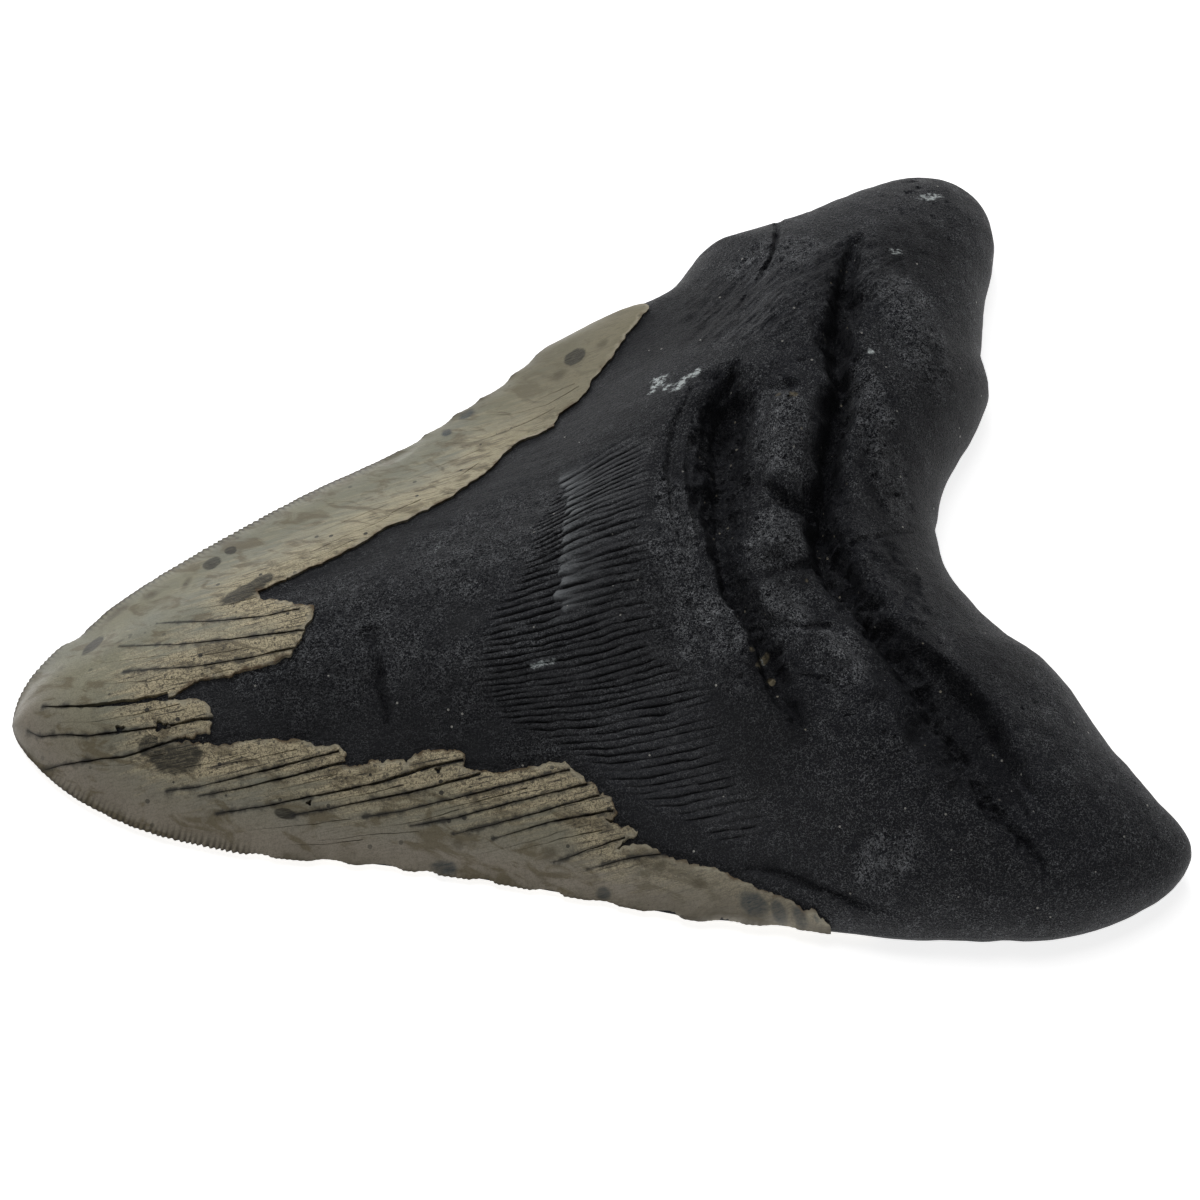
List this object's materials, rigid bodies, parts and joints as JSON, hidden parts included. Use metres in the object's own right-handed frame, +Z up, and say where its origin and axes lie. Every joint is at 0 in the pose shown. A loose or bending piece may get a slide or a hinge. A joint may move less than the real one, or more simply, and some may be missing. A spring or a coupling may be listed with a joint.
{
  "type": "fossil megalodon tooth",
  "caption": "Large triangular fossil shark tooth lying on its outer face, with a forked root, eroded root grooves and broken enamel along its serrated edges.",
  "frame": {"origin": "on the surface that the tooth lies on, under the middle of its bounding box", "axes": "+X along the tooth from its tip to its root, +Y across it to the far cutting edge, +Z up, out of the domed inner face"},
  "size_m": [0.12, 0.0969, 0.0214],
  "materials": {
    "root_and_dentine": "dull, fine leathery grain",
    "enamel": "satin, stained and cracked"
  },
  "bodies": {
    "root": {"tooth": "root_and_dentine"}
  },
  "joints": []
}
